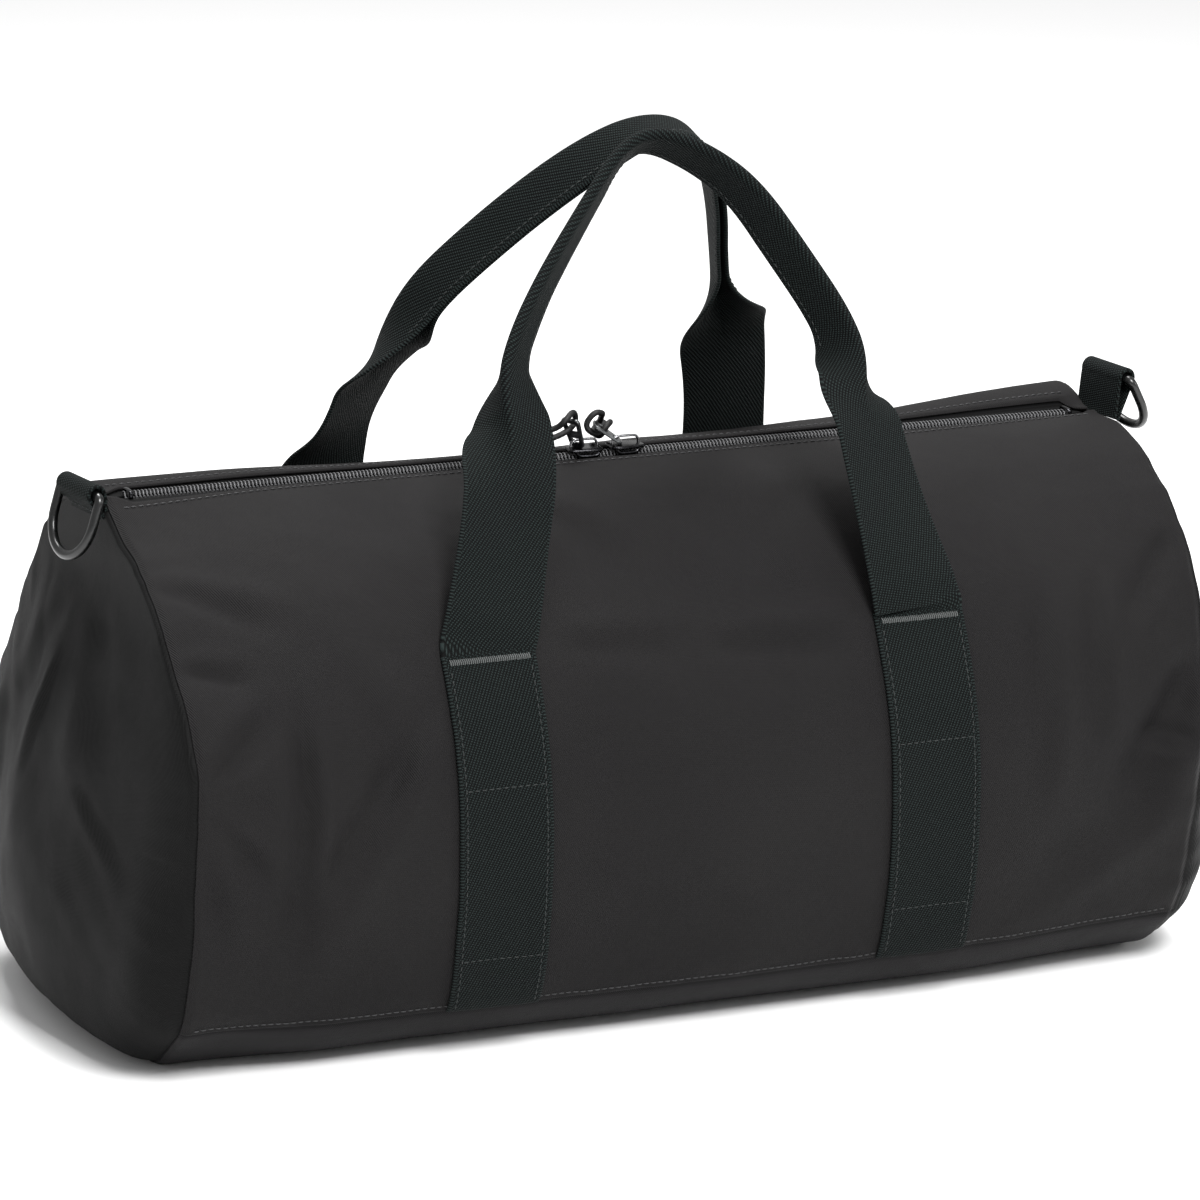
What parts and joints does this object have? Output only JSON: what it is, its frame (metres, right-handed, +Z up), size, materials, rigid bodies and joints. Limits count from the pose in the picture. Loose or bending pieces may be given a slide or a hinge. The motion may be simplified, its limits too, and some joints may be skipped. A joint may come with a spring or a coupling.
{
  "type": "duffel bag",
  "caption": "Soft barrel duffel bag with a zipped top, folded webbing carry handles and end D-rings for a shoulder strap.",
  "frame": {"origin": "middle of the flat base, on the floor", "axes": "+X along the bag to the end with the higher ring, -Y towards the front, +Z up"},
  "size_m": [0.5456, 0.2642, 0.4049],
  "materials": {
    "body_cloth": "charcoal twill weave",
    "base_cloth": "charcoal twill weave",
    "end_cloth": "charcoal twill weave",
    "lining": "thin plain weave",
    "board": "matte sheet",
    "zip_tape": "woven tape",
    "zip_coil": "satin nylon coil",
    "slider_metal": "black nickel",
    "pull_metal": "dark gunmetal",
    "cord": "braided",
    "cord_end": "matte moulded",
    "webbing": "twill webbing",
    "thread": "sewing thread",
    "ring_metal": "gloss black"
  },
  "bodies": {
    "bag": {"front_panel": "body_cloth", "back_panel": "body_cloth", "base_panel": "base_cloth", "left_end_panel": "end_cloth", "right_end_panel": "end_cloth", "body_lining": "lining", "left_end_lining": "lining", "right_end_lining": "lining", "base_board": "board", "zip_tape_front": "zip_tape", "zip_tape_back": "zip_tape", "zip_coil_front": "zip_coil", "zip_coil_back": "zip_coil", "zip_stop_left": "slider_metal", "zip_stop_right": "slider_metal", "sewn_strap_front_left": "webbing", "sewn_strap_front_right": "webbing", "sewn_strap_back_left": "webbing", "sewn_strap_back_right": "webbing", "ring_tab_left": "webbing", "ring_tab_right": "webbing", "bar_tacks_front": "thread", "bar_tacks_back": "thread"},
    "front_handle_body": {"front_handle": "webbing"},
    "back_handle_body": {"back_handle": "webbing"},
    "left_slider": {"slider_left": "slider_metal", "slider_bridge_left": "slider_metal"},
    "right_slider": {"slider_right": "slider_metal", "slider_bridge_right": "slider_metal"},
    "left_pull": {"pull_left": "pull_metal", "pull_cord_left": "cord", "cord_end_left": "cord_end"},
    "right_pull": {"pull_right": "pull_metal", "pull_cord_right": "cord", "cord_end_right": "cord_end"},
    "left_ring_body": {"d_ring_left": "ring_metal"},
    "right_ring_body": {"d_ring_right": "ring_metal"}
  },
  "joints": [
    {"name": "front_handle_fold", "type": "hinge", "parent": "bag", "child": "front_handle_body", "pos_m": [0, -0.11149, 0.19216], "axis": [1, 0, 0], "range_deg": [0, 165]},
    {"name": "back_handle_fold", "type": "hinge", "parent": "bag", "child": "back_handle_body", "pos_m": [0, 0.11149, 0.19216], "axis": [-1, 0, 0], "range_deg": [0, 165]},
    {"name": "left_zip_slide", "type": "slide", "parent": "bag", "child": "left_slider", "axis": [-1, 0, 0], "range_m": [0, 0.198]},
    {"name": "right_zip_slide", "type": "slide", "parent": "bag", "child": "right_slider", "axis": [1, 0, 0], "range_m": [0, 0.212]},
    {"name": "left_pull_flip", "type": "hinge", "parent": "left_slider", "child": "left_pull", "pos_m": [-0.0171, 0, 0.2519], "axis": [-0.5, 0.866, 0], "range_deg": [0, 35]},
    {"name": "right_pull_flip", "type": "hinge", "parent": "right_slider", "child": "right_pull", "pos_m": [0.004, 0, 0.2519], "axis": [0.3502, 0.9367, 0], "range_deg": [0, 80]},
    {"name": "left_ring_swing", "type": "hinge", "parent": "bag", "child": "left_ring_body", "pos_m": [-0.25818, 0.00319, 0.25022], "axis": [-0.1736, 0.9848, 0], "range_deg": [-16, 140]},
    {"name": "right_ring_swing", "type": "hinge", "parent": "bag", "child": "right_ring_body", "pos_m": [0.25857, -0.00112, 0.26489], "axis": [0.1736, -0.9848, 0], "range_deg": [-28, 130]}
  ]
}
